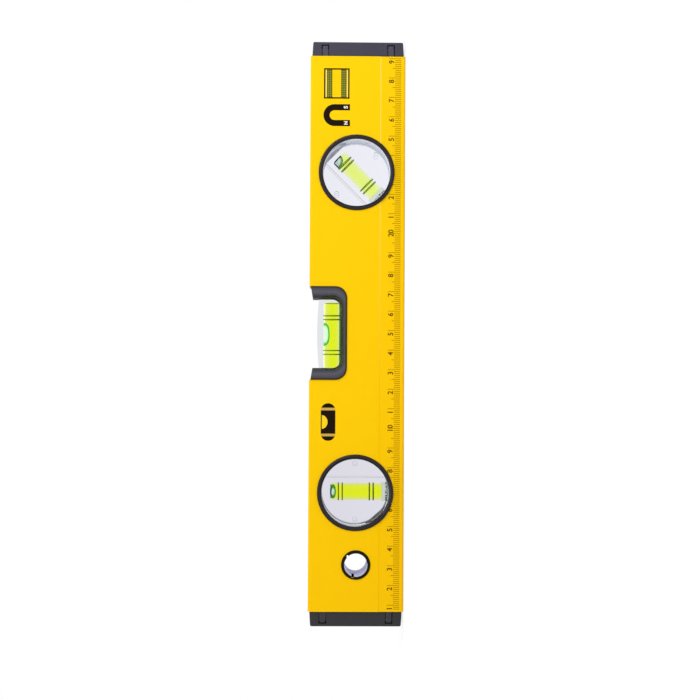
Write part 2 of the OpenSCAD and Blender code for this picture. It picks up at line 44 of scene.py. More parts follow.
# Sizes that the printing and the finishes share with the solids. A painted zone stops
# a hair inside or outside a solid's edge.
HAIR = 0.02
HALF_T = 10.5
STRIP_STEP = 0.35
STRIP_H = 12.9
BODY_END_X = 142.2
MID_Z = 24.4
TONGUE_OFF = 16.9
TONGUE_W = 2.6
TONGUE_L = 5.6
TONGUE_SLOT = 0.65
HOUSING_R = 19.5
HOUSING_VIEW_R = 17.1
WINDOW_X = -0.2
VIEW_HALF = 17.9
VIEW_FLOOR = 32.8
VIEW_CORNER_R = 4.2
WINDOW_HALF = 24.0
WINDOW_FLOOR = 29.4
WINDOW_CORNER_R = 6.0
HANG_X = -118.4
HANG_BORE_R = 5.8

# The vials
VIAL_Z = 24.9
PLUMB_X = -81.7
ANGLE_X = 82.3
ANGLE_TILT = math.radians(45)
VIAL_BORE_R = 4.4
VIAL_TOP = 12.8
VIAL_MOUTH = 16.67
DISC_R = 17.6
DISC_HALF_T = 6.5
DISC_STEP_AT = 7.5
PLUMB_FLAT = (math.radians(229), 16.4)
ANGLE_FLAT = (math.radians(45), 15.8)
MARK_AT = 14.4
MARK_R = 1.1
BUBBLE_R = 3.65
BUBBLE_PAST_END = BUBBLE_R / 7
BUBBLE_SIDE = 2.4
BUBBLE_DROP = 0.3 * BUBBLE_SIDE
LEVEL_X = -1.0
LEVEL_Z = 37.3
LEVEL_BORE_R = 4.2
LEVEL_HALF_L = 16.85
LEVEL_BUBBLE_L = 11.7
LEVEL_BUBBLE_H = 3.1
LEVEL_BUBBLE_AT = 0.3

# The ruler
RULER_ZERO_X = -148.82
RULER_FROM = 8
RULER_TO = 290
TICK_Z = 2.2
TICK_W = 0.42
TICK_LENGTHS = {1: 3.15, 5: 4.4, 10: 6.35}
FIGURE_Z = 5.9
FIGURE_H = 2.75
FIGURE_SHIFT = 1.75
INK_T = 0.012

# The camera, placed by fitting the ruler's marks and the round rims
CAMERA_AT = (-24.01, -677.05, 38.36)
CAMERA_AIM = (-8.87, -10.5, 27.88)
CAMERA_ROLL = math.radians(-0.29)
CAMERA_LENS = 67.07


class Value:
    """A number or colour that changes over a surface. Arithmetic on it adds Math nodes."""

    def __init__(self, tree, socket):
        self.tree = tree
        self.socket = socket

    def math(self, operation, *values):
        return self.tree.node("ShaderNodeMath", {"operation": operation}, values)[0]

    def __add__(self, other):
        return self.math("ADD", self, other)

    def __sub__(self, other):
        return self.math("SUBTRACT", self, other)

    def __rsub__(self, other):
        return self.math("SUBTRACT", other, self)

    def __mul__(self, other):
        return self.math("MULTIPLY", self, other)

    def __truediv__(self, other):
        return self.math("DIVIDE", self, other)

    def __pow__(self, other):
        return self.math("POWER", self, other)

    def __abs__(self):
        return self.math("ABSOLUTE", self)

    def __lt__(self, other):
        return self.math("LESS_THAN", self, other)

    def __gt__(self, other):
        return self.math("GREATER_THAN", self, other)

    def __or__(self, other):
        return self.math("MAXIMUM", self, other)

    __radd__ = __add__
    __rmul__ = __mul__


class Outputs:
    """The outputs of one node, by name or number."""

    def __init__(self, tree, node):
        self.tree = tree
        self.made = node

    def __getitem__(self, key):
        return Value(self.tree, self.made.outputs[key])


class NodeTree:
    """A node tree under construction. node() adds any node, the rest are short cuts."""

    def __init__(self, owner, output):
        owner.use_nodes = True
        self.owner = owner
        self.tree = owner.node_tree
        self.tree.nodes.clear()
        self.end = self.tree.nodes.new(output)

    def node(self, kind, settings=None, inputs=()):
        made = self.tree.nodes.new(kind)
        for name, value in (settings or {}).items():
            if name == "stops":
                self.set_stops(made.color_ramp, value)
            else:
                setattr(made, name, value)
        named = inputs.items() if isinstance(inputs, dict) else enumerate(inputs)
        for key, value in named:
            if isinstance(value, Value):
                self.tree.links.new(value.socket, made.inputs[key])
            elif value is not None:
                made.inputs[key].default_value = value
        return Outputs(self, made)

    @staticmethod
    def set_stops(ramp, stops):
        while len(ramp.elements) < len(stops):
            ramp.elements.new(0.5)
        for element, (at, level) in zip(ramp.elements, stops):
            element.position = at
            element.color = (level, level, level, 1)

    def vector(self, operation, first, second=None, output=0):
        return self.node("ShaderNodeVectorMath", {"operation": operation}, [first, second])[output]

    def place(self):
        """Object coordinates in millimetres."""
        spot = self.node("ShaderNodeTexCoord")["Object"]
        return self.vector("MULTIPLY", spot, (1 / MM, 1 / MM, 1 / MM))

    def parts(self, vector):
        xyz = self.node("ShaderNodeSeparateXYZ", {}, [vector])
        return xyz["X"], xyz["Y"], xyz["Z"]

    def dot(self, first, second):
        return self.vector("DOT_PRODUCT", first, second, "Value")

    def distance(self, first, second):
        return self.vector("DISTANCE", first, second, "Value")

    def length(self, first, second):
        """The length of a flat vector given by its two parts."""
        flat = self.node("ShaderNodeCombineXYZ", {}, [first, second, 0])[0]
        return self.vector("LENGTH", flat, output="Value")

    def noise(self, vector, scale, detail=2.0, stretch=(1, 1, 1)):
        """Smooth noise from 0 to 1. scale is in waves a millimetre, before the stretch."""
        pulled = self.vector("MULTIPLY", vector, stretch)
        inputs = {"Vector": pulled, "Scale": scale, "Detail": detail}
        return self.node("ShaderNodeTexNoise", {}, inputs)[0]

    def ramp(self, value, *stops):
        return self.node("ShaderNodeValToRGB", {"stops": stops}, [value])[0]

    def blend(self, share, low, high):
        """The colour low where share is 0 and high where it is 1."""
        inputs = {"Factor": share, 6: low, 7: high}
        return self.node("ShaderNodeMix", {"data_type": "RGBA"}, inputs)[2]

    def bump(self, height, depth):
        """A bumped normal. depth is in millimetres."""
        inputs = {"Height": height, "Distance": depth * MM, "Strength": 1.0}
        return self.node("ShaderNodeBump", {}, inputs)[0]

    def seen(self):
        """1 on rays from the camera, in reflections and through clear pieces."""
        path = self.node("ShaderNodeLightPath")
        return path["Is Camera Ray"] | path["Is Glossy Ray"] | path["Is Transmission Ray"]

    def shader(self, **sockets):
        """A Principled shader. A socket is named with _ for a space."""
        named = {name.replace("_", " "): value for name, value in sockets.items()}
        return self.node("ShaderNodeBsdfPrincipled", {}, named)[0]

    def through(self, tint=(1, 1, 1, 1), **sockets):
        """A wetted wall that tints light and doesn't bend it."""
        return self.shader(Base_Color=tint, Roughness=0.0, IOR=1.0, Transmission_Weight=1.0, **sockets)

    def mix(self, share, first, second):
        return self.node("ShaderNodeMixShader", {}, [share, first, second])[0]

    def done(self, surface, volume=None):
        self.tree.links.new(surface.socket, self.end.inputs["Surface"])
        if volume:
            self.tree.links.new(volume.socket, self.end.inputs["Volume"])
        return self.owner


def finish(name):
    return NodeTree(bpy.data.materials.new(name), "ShaderNodeOutputMaterial")


def rgb(red, green, blue):
    """A colour given as it shows on screen, 0 to 255, made linear."""
    shown = np.array([red, green, blue]) / 255
    linear = np.where(shown <= 0.04045, shown / 12.92, ((shown + 0.055) / 1.055) ** 2.4)
    return (*linear.tolist(), 1.0)


# Finishes

def yellow_coat():
    """Satin powder coat with a faint orange peel, painted darker towards -X as painted light falloff
    and with a painted highlight on the strip's step edge. The base is milled bare.
    """
    f = finish("yellow_powder_coat")
    place = f.place()
    x, y, z = f.parts(place)
    cloud = f.noise(place, 0.05, 3)
    peel = f.noise(place, 1.1, 2)
    # Painted light falloff: the coat is painted darker and more orange towards -X, where less light
    # falls, with a little random tone.
    falloff_and_tone = f.ramp((x + 150) / 300, (0, 0), (1, 1)) * 0.8 + cloud * 0.2
    coat = f.blend(falloff_and_tone, rgb(255, 201, 0), rgb(255, 213, 0))
    # Painted highlight: a pale yellow line along the strip's step edge, brighter towards +X.
    thin = abs(z - (STRIP_H - STRIP_STEP / 2)) < 0.27
    wear_and_highlight = thin * f.ramp((x + 30) / 120, (0, 0), (1, 1))
    coat = f.blend(wear_and_highlight, coat, rgb(255, 232, 96))
    milled = z < 0.06
    cuts = f.noise(place, 1.0, 4, (0.012, 3.5, 1))
    metal = f.blend(cuts, rgb(176, 178, 182), rgb(214, 216, 219))
    height = peel * 0.004 * (1 - milled) + cuts * 0.01 * milled
    return f.done(f.shader(
        Base_Color=f.blend(milled, coat, metal),
        Metallic=milled,
        Roughness=0.42 + (cuts * 0.2 - 0.16) * milled + peel * 0.05,
        Specular_IOR_Level=0.06,
        Normal=f.bump(height, 1.0),
    ))


def housing_plastic(name, centre_x, wall, flat, painted_light_by_flat, glow):
    """Black housing plastic. Its bore is painted pale and made to glow as painted light from the disc,
    with other painted light by the flat.
    """
    f = finish(name)
    place = f.place()
    x, y, z = f.parts(place)
    cloud = f.noise(place, 0.12, 3)
    fine = f.noise(place, 0.5, 3)
    bore = f.length(x - centre_x, z - VIAL_Z) < HOUSING_VIEW_R + 0.15
    bore = bore | (abs(y) < DISC_HALF_T + 0.25)
    turn, flat_at = flat
    towards = (x - centre_x) * math.sin(turn) + (z - VIAL_Z) * math.cos(turn)
    # Painted light on the bore: wall is a painted pale colour, changed by the flat to the painted light
    # there.
    wall = f.blend(towards > flat_at - 1.6, wall, painted_light_by_flat)
    # The bore's colour also glows, as painted light.
    return f.done(f.shader(
        Base_Color=f.blend(bore, f.blend(cloud, rgb(33, 27, 30), rgb(39, 32, 36)), wall),
        Roughness=0.16 + (cloud - 0.5) * 0.12,
        Specular_IOR_Level=0.22,
        Emission_Color=f.blend(bore, (0, 0, 0, 1), wall),
        Emission_Strength=glow,
        Normal=f.bump(fine, 0.002),
    ))


def bush_plastic():
    """Black bush plastic. Its bore is a paler lining, painted with a reflection of the white around it.
    """
    f = finish("black_bush_plastic")
    place = f.place()
    x, y, z = f.parts(place)
    cloud = f.noise(place, 0.3, 3)
    lining = f.length(x - HANG_X, z - MID_Z) < HANG_BORE_R + 0.12
    # Painted reflection: the pale lining colour stands in for the white background mirrored in the
    # bore.
    pale = f.blend(cloud, rgb(202, 204, 238), rgb(220, 222, 248))
    return f.done(f.shader(
        Base_Color=f.blend(lining, f.blend(cloud, rgb(30, 23, 8), rgb(38, 30, 12)), pale),
        Roughness=0.3 + cloud * 0.1,
        Specular_IOR_Level=0.05,
    ))


def cap_plastic(name, dark, light, tongue, painted_slot_light):
    """Satin cap plastic, dark where it meets the body.

    The snap tongues are paler. The slots round them are painted pale and glow a little, as painted
    light in their shade.
    """
    f = finish(name)
    place = f.place()
    x, y, z = f.parts(place)
    cloud = f.noise(place, 0.12, 3)
    fine = f.noise(place, 2.5, 3)
    from_middle = abs(abs(z - MID_Z) - TONGUE_OFF)
    tongue_end = BODY_END_X + TONGUE_L
    on_tongue = (from_middle < TONGUE_W / 2 - HAIR) * (abs(x) < tongue_end - HAIR)
    near = from_middle < TONGUE_W / 2 + TONGUE_SLOT - HAIR
    near = near * (abs(x) < tongue_end + TONGUE_SLOT - HAIR)
    joint = abs(x) < BODY_END_X + 0.5
    colour = f.blend(joint, f.blend(cloud, dark, light), rgb(40, 36, 18))
    # Painted light: the slots are painted pale and glow, in place of their shade.
    colour = f.blend(near, colour, painted_slot_light)
    return f.done(f.shader(
        Base_Color=f.blend(on_tongue, colour, tongue),
        Emission_Color=f.blend(near * (1 - on_tongue), (0, 0, 0, 1), painted_slot_light),
        Emission_Strength=0.15,
        Roughness=0.4 + (cloud - 0.5) * 0.12,
        Specular_IOR_Level=0.25,
        Normal=f.bump(fine, 0.004),
    ))


def past_opening(f, x, z, half, floor, corner_r):
    """How far a point lies outside a box with two round corners and an open top."""
    past_x = (abs(x - WINDOW_X) - (half - corner_r)) | 0
    past_z = (floor + corner_r - z) | 0
    return f.length(past_x, past_z) - corner_r


def window_plastic():
    """Satin frame plastic with painted shading: dark on the bevel round the opening and palest mid-way
    across.

    out is the distance from the opening's outline, a box with two round corners. The
    walls that face the vial block get the darkest painted shade, and the floor a painted green
    reflection of the vial.
    """
    f = finish("grey_window_plastic")
    place = f.place()
    x, y, z = f.parts(place)
    cloud = f.noise(place, 0.12, 3)
    fine = f.noise(place, 2.5, 3)
    out = past_opening(f, x, z, VIEW_HALF, VIEW_FLOOR, VIEW_CORNER_R)
    flank_shade = past_opening(f, x, z, WINDOW_HALF, WINDOW_FLOOR, WINDOW_CORNER_R) > -0.9
    inside = out < 0.06
    # Painted shading across the frame: dark at the bevel and palest mid-way, as on a rounded face.
    shade = f.ramp(out / 6.1, (0.17, 0), (0.28, 0.5), (0.5, 1), (0.85, 0.45))
    # Painted shade on the bevel, tinted near the floor by a painted green reflection of the vial.
    bevel = f.blend(z < VIEW_FLOOR + 0.3, rgb(34, 33, 38), rgb(20, 32, 12))
    face = f.blend(shade, bevel, rgb(84, 83, 96))
    # A brown painted shade on the outer flank, with the coat's yellow reflected in it.
    face = f.blend(flank_shade, face, rgb(46, 34, 16))
    # The inside walls are painted near black as shade, and the floor a painted green reflection of the
    # vial.
    low = inside * (z < VIEW_FLOOR + 1.5)
    return f.done(f.shader(
        Base_Color=f.blend(low, f.blend(inside, face, rgb(12, 11, 14)), rgb(46, 66, 18)),
        Roughness=0.36 + (cloud - 0.5) * 0.12 + 0.2 * inside,
        Specular_IOR_Level=0.25,
        Normal=f.bump(fine * (1 - inside), 0.004),
    ))


def lets_lamps_in(f, surface):
    """Clear pieces let the lamps' light straight through to what they hold."""
    lamp = f.node("ShaderNodeLightPath")["Is Shadow Ray"]
    straight = f.node("ShaderNodeBsdfTransparent")[0]
    return f.mix(lamp, surface, straight)


def along_and_out(f, place, centre, axis):
    """How far a point lies along an axis and out from it, in millimetres."""
    away = f.vector("SUBTRACT", place, centre)
    out = f.vector("LENGTH", f.vector("CROSS_PRODUCT", away, axis), output="Value")
    return f.dot(away, axis), out


def along_and_across(f, place, vial):
    """How far a point lies along a vial's axis and to its bubble's side, in millimetres."""
    away = f.vector("SUBTRACT", place, vial["centre"])
    return f.dot(away, vial["axis"]), f.dot(away, vial["aside"])


def disc_lines(f, place, centre, aside, step_side):
    """Where a disc's moulded lines show: the edge of its step and its two round marks."""
    side = f.dot(f.vector("SUBTRACT", place, centre), aside)
    lines = abs(side - step_side * DISC_STEP_AT) < 0.22
    for at in (-MARK_AT, MARK_AT):
        flat = f.vector("MULTIPLY", f.vector("SUBTRACT", place, centre + aside * at), (1, 0, 1))
        lines = lines | (abs(f.vector("LENGTH", flat, output="Value") - MARK_R) < 0.2)
    return lines


def frosted_wall(f, place, centre, flat, shade):
    """The matt outer wall of a disc, and the flat where its gate was cut off. Both glow a little as
    painted light, and the flat's colours are painted shade.
    """
    turn, flat_at = flat
    away = f.vector("MULTIPLY", f.vector("SUBTRACT", place, centre), (1, 0, 1))
    rim = f.vector("LENGTH", away, output="Value") > DISC_R - 0.15
    cut = f.dot(away, (math.sin(turn), 0, math.cos(turn))) > flat_at - 0.1
    streaks = f.noise(place, 1.4, 3)
    rim_shade = f.blend(streaks, rgb(204, 206, 218), rgb(214, 216, 228))
    # The flat's colours are painted shade; both zones glow as painted light.
    matt = f.blend(cut, rim_shade, f.blend(streaks, *shade))
    return rim | cut, f.shader(
        Base_Color=matt,
        Roughness=0.55,
        Specular_IOR_Level=0.2,
        Emission_Color=matt,
        Emission_Strength=0.4,
    )


def clear_moulding(name, vial, tint, disc=None):
    """Clear acrylic. Fluid wets the wall of the bore, so that wall doesn't bend light.

    Where the bubble touches the bore, the wall shows the light that the bubble gathers.
    The level vial's shows it to a look straight across, not by way of the crowned top.
    """
    f = finish(name)
    place = f.place()
    along, out = along_and_out(f, place, vial["centre"], vial["axis"])
    wetted = (out < vial["bore_r"] + 0.9) * (along < vial["bore_end"] + 0.3)
    wave = f.noise(place, 0.09, 2)
    if disc:
        lines = disc_lines(f, place, vial["centre"], vial["aside"], disc["step_side"])
        colour = f.blend(lines, tint, rgb(196, 196, 206))
    else:
        low = f.parts(place)[2] < LEVEL_Z - LEVEL_BORE_R + 0.35
        colour = f.blend(low, tint, rgb(96, 146, 20))
    polished = f.shader(
        Base_Color=colour, Roughness=0.0, IOR=1.49, Transmission_Weight=1.0,
        Specular_Tint=(0.4, 0.4, 0.42, 1), Normal=f.bump(wave, 0.02),
    )
    clear = f.mix(wetted, polished, f.through())
    if disc:
        where, matt = frosted_wall(f, place, vial["centre"], disc["flat"], disc["flat_shade"])
        clear = f.mix(where, clear, matt)
    where, paint = bubble_paint(f, place, vial)
    where = where * (f.distance(place, vial["bubble"]) < vial["bubble_r"] + HAIR)
    if not disc:
        facing = f.node("ShaderNodeLayerWeight", {}, {"Blend": 0.5})["Facing"]
        square_on = 1 - abs(f.parts(place)[1]) / vial["bore_r"]
        where = where * (abs(facing - square_on) < 0.16)
    clear = f.mix(where, clear, paint)
    return f.done(lets_lamps_in(f, clear))


def bubble_paint(f, place, vial):
    """The light that a bubble gathers: pale in the middle, green at its edge.

    The oval is its middle and half size along and aside from the vial's axis, and its
    power p: reach = (|u|^p + |v|^p)^(1/p), which is 1 at the edge. The shades are those
    inside and at the edge, and the reach where the first ends. A round vial's bubble is
    dark where it lies against the bore.
    """
    middle_l, half_l, middle_w, half_w, power = vial["oval"]
    along, across = along_and_across(f, place, vial)
    u = abs(along - middle_l) / half_l
    v = abs(across - middle_w) / half_w
    reach = (u ** power + v ** power) ** (1 / power)
    inner, edge, core = vial["bubble_shades"]
    colour = f.blend(f.ramp(reach, (core, 0), (core + 0.2, 1)), inner, edge)
    against = (along > vial["bore_end"] - 0.8) | (across < 0.5 - vial["bore_r"])
    colour = f.blend(against, colour, rgb(40, 52, 54))
    return reach < 1.02, f.shader(
        Base_Color=colour,
        Roughness=0.4,
        Specular_IOR_Level=0.2,
        Emission_Color=colour,
        Emission_Strength=0.2,
    )


def vial_fluid(name, vial, dye, skin_tint, glow):
    """Dyed fluid with a painted glow, strongest where it is seen square on.

    dye gives how strongly the fluid takes up red, green and blue, in parts a metre. Its
    skin is tinted too, less towards the sides, so that the colour fades there. The level
    vial's fluid is pale at the bubble's side, has a painted highlight at the top and is dark at its
    closed end.
    """
    f = finish(name)
    place = f.place()
    hollow = abs(f.distance(place, vial["bubble"]) - vial["bubble_r"]) < 0.06
    facing = f.node("ShaderNodeLayerWeight", {}, {"Blend": 0.5})["Facing"]
    rim = f.ramp(facing, (0.3, 0), (0.5, 1))
    edge = f.shader(Base_Color=rgb(70, 170, 30), Roughness=0.3)
    skin = f.mix(rim, f.through(rgb(225, 250, 238)), edge)
    fade = f.ramp(facing, (0.08, 0), (0.6, 1))
    lit = f.blend(fade, rgb(250, 255, 0), rgb(60, 70, 0))
    tint = f.blend(fade, skin_tint, rgb(255, 255, 250))
    if vial["pale_aside"]:
        along, across = along_and_across(f, place, vial)
        pale = f.ramp(across / vial["bore_r"], (0.15, 0), (0.85, 1))
        tint = f.blend(pale, tint, rgb(255, 255, 250))
        at_end = abs(along - vial["bore_end"] + 0.45) < 0.2
        tint = f.blend(at_end, tint, rgb(120, 132, 20))
        on_top = (across > 0) * (abs(f.parts(place)[1]) < 2.4)
        # Painted highlight: the level fluid's upper front is painted brighter and glows more.
        lit = f.blend(on_top * 0.8 + 0.2, (0, 0, 0, 1), f.blend(on_top, lit, rgb(206, 236, 24)))
    wetted = f.through(tint, Emission_Color=lit, Emission_Strength=glow)
    density = 700.0
    passes = [1 - part / density for part in dye]
    inputs = {"Color": (*passes, 1), "Density": density}
    volume = f.node("ShaderNodeVolumeAbsorption", {}, inputs)[0]
    where, paint = bubble_paint(f, place, vial)
    surface = f.mix(where, f.mix(hollow, wetted, skin), paint)
    return f.done(lets_lamps_in(f, surface), volume)


def bonded_plug(name, vial, mouth):
    """Water-clear plug, glued in. Specks of dyed glue sit round its outer end."""
    f = finish(name)
    place = f.place()
    along = f.dot(f.vector("SUBTRACT", place, vial["centre"]), vial["axis"])
    cloud = f.noise(place, 0.6, 3)
    specks = (f.noise(place, 1.3, 1) > 0.54) * (along < 1.0 - mouth)
    clear = f.through(f.blend(cloud, rgb(222, 232, 214), rgb(236, 242, 230)))
    glue = f.shader(Base_Color=rgb(52, 84, 66), Roughness=0.4)
    return f.done(lets_lamps_in(f, f.mix(specks, clear, glue)))


def ring_dye(name, dark, light):
    f = finish(name)
    shade = f.blend(f.noise(f.place(), 0.8, 2), dark, light)
    return f.done(f.shader(Base_Color=shade, Roughness=0.6, Specular_IOR_Level=0.1))


def plated(name, dark, light):
    """Bright plated metal with rolling marks along its length."""
    f = finish(name)
    marks = f.noise(f.place(), 1.2, 4, (0.05, 2, 1))
    return f.done(f.shader(
        Base_Color=f.blend(marks, dark, light),
        Metallic=1.0,
        Roughness=0.26 + marks * 0.16,
        Normal=f.bump(marks, 0.004),
    ))


def ink(name, colour, wear_and_highlight):
    """Printing ink that lets a little of the coat show where it is thin."""
    f = finish(name)
    shade = f.blend(f.noise(f.place(), 1.7, 3), colour, wear_and_highlight)
    return f.done(f.shader(Base_Color=shade, Roughness=0.5, Specular_IOR_Level=0.05))


def dress(material, *nodes):
    for name in nodes:
        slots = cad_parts[name].data.materials
        slots.clear()
        slots.append(material)


def dress_plastics_and_metals():
    dress(yellow_coat(), "frame_profile")
    right_cap = cap_plastic(
        "grey_cap_plastic", rgb(53, 51, 67), rgb(59, 56, 73), rgb(68, 64, 82), rgb(120, 116, 140),
    )
    # The left cap is painted darker than the right, as painted shade where less light falls towards -X.
    left_cap = cap_plastic(
        "cap_plastic_painted_shade", rgb(43, 42, 46), rgb(48, 47, 51), rgb(53, 52, 56), rgb(118, 116, 120),
    )
    dress(right_cap, "right_end_cap")
    dress(left_cap, "left_end_cap")
    dress(window_plastic(), "window_bezel_front", "window_bezel_rear")
    # Bore colours and glows are painted light; by the plumb vial's flat the bore gets a painted shade.
    plumb_housing = housing_plastic(
        "plumb_housing_plastic", PLUMB_X, rgb(140, 146, 148), PLUMB_FLAT, rgb(28, 28, 34), 0.15,
    )
    dress(plumb_housing, "plumb_bezel_front", "plumb_bezel_rear")
    angle_housing = housing_plastic(
        "angle_housing_plastic", ANGLE_X, rgb(190, 192, 206), ANGLE_FLAT, rgb(166, 168, 182), 0.35,
    )
    dress(angle_housing, "angle_bezel_front", "angle_bezel_rear")
    dress(bush_plastic(), "hang_bush_front", "hang_bush_rear")
    nickel = plated("nickel_magnet", rgb(150, 150, 154), rgb(190, 190, 194))
    dress(nickel, "magnet_left", "magnet_right")
    steel = plated("bright_steel", rgb(170, 171, 175), rgb(205, 206, 210))
    dress(steel, "magnet_plate_left", "magnet_plate_right")


def round_vial(x, tilt, bubble_side, bubble_drop, oval, shades):
    """The measures of the vial at x, which leans by tilt, and its bubble's oval and shades.

    The bubble touches the closed end of the bore, bubble_side off the axis.
    """
    centre = Vector((x, 0, VIAL_Z))
    axis = Vector((math.sin(tilt), 0, math.cos(tilt)))
    aside = Vector((math.cos(tilt), 0, -math.sin(tilt)))
    bubble = centre + axis * (VIAL_TOP + BUBBLE_PAST_END - bubble_drop) - aside * bubble_side
    return {
        "centre": centre, "axis": axis, "aside": aside,
        "bore_r": VIAL_BORE_R, "bore_end": VIAL_TOP,
        "bubble": bubble, "bubble_r": BUBBLE_R, "oval": oval, "bubble_shades": shades,
        "pale_aside": False,
    }


def level_vial():
    """The measures of the level vial. Its bubble lies against the top of the bore."""
    centre = Vector((LEVEL_X, 0, LEVEL_Z))
    bubble_r = (LEVEL_BUBBLE_L ** 2 / 4 + LEVEL_BUBBLE_H ** 2) / (2 * LEVEL_BUBBLE_H)
    bubble = centre + Vector((LEVEL_BUBBLE_AT, 0, LEVEL_BORE_R - LEVEL_BUBBLE_H + bubble_r))
    return {
        "centre": centre, "axis": Vector((1, 0, 0)), "aside": Vector((0, 0, 1)),
        "bore_r": LEVEL_BORE_R, "bore_end": LEVEL_HALF_L,
        "bubble": bubble, "bubble_r": bubble_r,
        "oval": (LEVEL_BUBBLE_AT, LEVEL_BUBBLE_L / 2, LEVEL_BORE_R, LEVEL_BUBBLE_H, 2.5),
        "bubble_shades": (rgb(204, 244, 196), rgb(56, 176, 10), 0.66),
        "pale_aside": True,
    }


def dress_plumb_vial():
    shades = (rgb(222, 244, 214), rgb(50, 160, 10), 0.4)
    vial = round_vial(PLUMB_X, 0, 0, 0, (11.3, 1.5, 0, 3.4, 2.2), shades)
    disc = {"step_side": 1, "flat": PLUMB_FLAT, "flat_shade": (rgb(30, 32, 40), rgb(70, 72, 80))}
    dress(clear_moulding("clear_plumb_disc", vial, rgb(220, 219, 229), disc), "plumb_vial_disc")
    dress(vial_fluid("plumb_fluid", vial, (20, 4, 230), rgb(255, 255, 60), 0.08), "plumb_vial_fluid")
    dress(bonded_plug("plumb_plug_bond", vial, VIAL_MOUTH), "plumb_vial_plug")
    dress(ring_dye("plumb_ring_dye", rgb(66, 88, 0), rgb(86, 108, 0)), "plumb_vial_rings")


def dress_angle_vial():
    shades = (rgb(206, 224, 208), rgb(54, 134, 50), 0.74)
    oval = (VIAL_TOP, 3.9, -VIAL_BORE_R, 5.2, 2.4)
    vial = round_vial(ANGLE_X, ANGLE_TILT, BUBBLE_SIDE, BUBBLE_DROP, oval, shades)
    disc = {"step_side": -1, "flat": ANGLE_FLAT, "flat_shade": (rgb(110, 112, 122), rgb(176, 178, 190))}
    dress(clear_moulding("clear_angle_disc", vial, rgb(235, 235, 244), disc), "angle_vial_disc")
    dress(vial_fluid("angle_fluid", vial, (20, 2, 70), rgb(255, 255, 172), 0.04), "angle_vial_fluid")
    dress(bonded_plug("angle_plug_bond", vial, VIAL_MOUTH), "angle_vial_plug")
    dress(ring_dye("angle_ring_dye", rgb(116, 142, 24), rgb(134, 158, 34)), "angle_vial_rings")


def dress_level_vial():
    vial = level_vial()
    dress(clear_moulding("clear_level_block", vial, rgb(226, 229, 232)), "level_vial_block")
    dress(vial_fluid("level_fluid", vial, (20, 4, 240), rgb(255, 255, 50), 0.3), "level_vial_fluid")
    dress(bonded_plug("level_plug_bond", vial, LEVEL_HALF_L + 6), "level_vial_plug")
    dress(ring_dye("level_ring_dye", rgb(112, 140, 4), rgb(134, 162, 10)), "level_vial_rings")


# Printing

def solid(name, points, faces, material):
    """A closed mesh from points in millimetres, its faces turned outwards."""
    mesh = bpy.data.meshes.new(name)
    mesh.from_pydata((points * MM).tolist(), [], faces.tolist())
    mesh.materials.append(material)
    piece = bpy.data.objects.new(name, mesh)
    bpy.context.scene.collection.objects.link(piece)
    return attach(piece, "root")


def printed(name, strips, material, layer=0, face_y=-HALF_T):
    """Flat printed strips, each a thin plate on the face at y = face_y.

    strips has the shape (strip, station, 2, 2): at each station a strip runs from its
    first edge to its second, both given as X and Z. A higher layer lies on a lower one.
    """
    strips = np.asarray(strips, float)
    count, stations = strips.shape[:2]
    corners = np.empty((count, stations, 2, 2, 3))
    corners[..., 0] = strips[..., 0, None]
    corners[..., 1] = face_y + np.array([-INK_T * (layer + 1), INK_T])
    corners[..., 2] = strips[..., 1, None]
    first = (np.arange(count)[:, None] * stations + np.arange(stations - 1)) * 4
    around = np.array([[0, 4, 6, 2], [1, 3, 7, 5], [0, 1, 5, 4], [2, 6, 7, 3]])
    sides = (first[..., None, None] + around).reshape(-1, 4)
    starts = first[:, :1] + np.array([0, 2, 3, 1])
    ends = first[:, -1:] + 4 + np.array([0, 1, 3, 2])
    faces = np.concatenate([sides, starts, ends])
    return solid(name, corners.reshape(-1, 3), faces, material)


def strip(x, low, high):
    """One strip along X, whose edges are the heights low and high at each x."""
    x, low, high = np.broadcast_arrays(x, low, high)
    return np.stack([np.stack([x, low], -1), np.stack([x, high], -1)], -2)[None]


def bars(x0, x1, z0, z1):
    """Straight bars as strips of two stations, from arrays of their sides."""
    x0, x1, z0, z1 = np.broadcast_arrays(*(np.asarray(v, float) for v in (x0, x1, z0, z1)))
    low = np.stack([np.stack([x0, z0], -1), np.stack([x0, z1], -1)], -2)
    high = np.stack([np.stack([x1, z0], -1), np.stack([x1, z1], -1)], -2)
    return np.stack([low, high], -3).reshape(-1, 2, 2, 2)


def housing_edge(x):
    """Height at which the round housings cover the face at x, or a great height beside them."""
    edge = np.full_like(x, 100.0)
    for centre in (PLUMB_X, ANGLE_X):
        off = np.clip(HOUSING_R ** 2 - (x - centre) ** 2, 0, None)
        edge = np.where(off > 0, np.minimum(edge, VIAL_Z - np.sqrt(off)), edge)
    return edge


def ruler_ticks(material):
    """A tick each millimetre, longer at 5 and 10 and cut off where a housing covers it."""
    marks = np.arange(RULER_FROM, RULER_TO + 1)
    length = np.full(marks.shape, TICK_LENGTHS[1])
    length[marks % 5 == 0] = TICK_LENGTHS[5]
    length[marks % 10 == 0] = TICK_LENGTHS[10]
    x = RULER_ZERO_X + marks
    top = np.minimum(TICK_Z + length, housing_edge(x))
    ticks = bars(x - TICK_W / 2, x + TICK_W / 2, TICK_Z, top)
    return printed("ruler_ticks", ticks, material, 0, STRIP_STEP - HALF_T)


